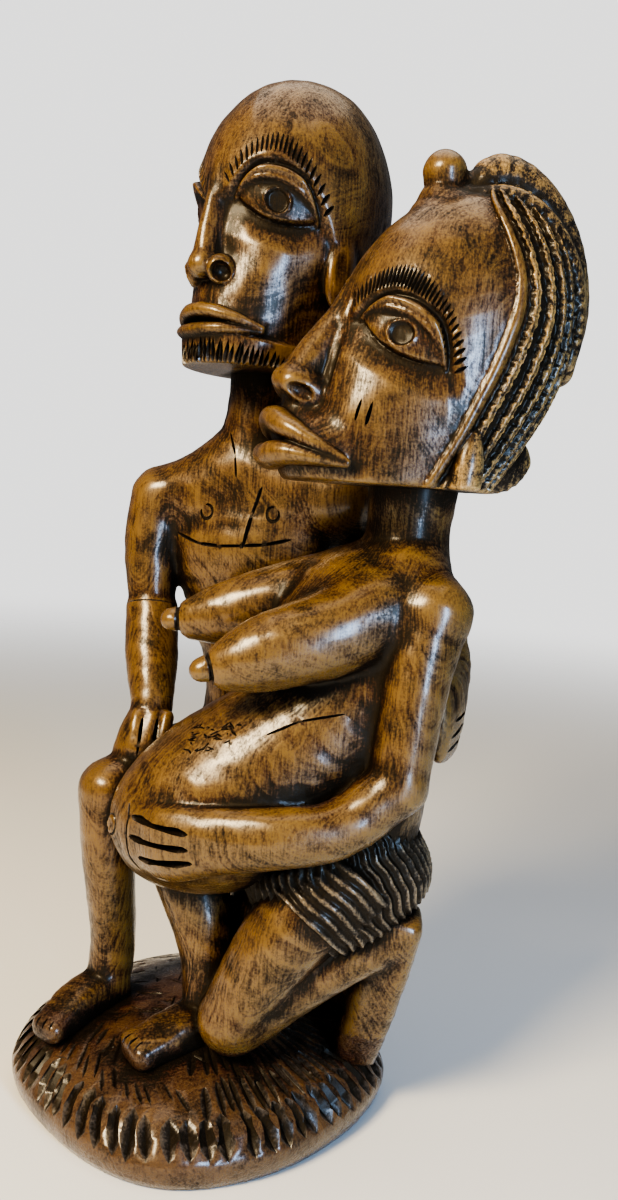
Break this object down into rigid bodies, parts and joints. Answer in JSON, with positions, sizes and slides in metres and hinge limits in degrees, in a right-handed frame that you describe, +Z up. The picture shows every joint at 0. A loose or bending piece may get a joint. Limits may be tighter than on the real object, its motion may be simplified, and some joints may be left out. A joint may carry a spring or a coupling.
{
  "type": "wooden sculpture",
  "caption": "Dark carved hardwood sculpture of a seated bearded man and a kneeling expectant woman with braided hair, leaning together on a round gouged base.",
  "frame": {"origin": "centre of the base's flat underside", "axes": "+Z up; both figures look towards -X, each turned a little towards -Y; from -Y both faces show"},
  "size_m": [0.2034, 0.1602, 0.4034],
  "materials": {
    "carved_wood": "dark stained and waxed hardwood, rubbed to golden brown on the high places and near black in the cuts"
  },
  "bodies": {
    "root": {"carved_couple": "carved_wood"}
  },
  "joints": []
}
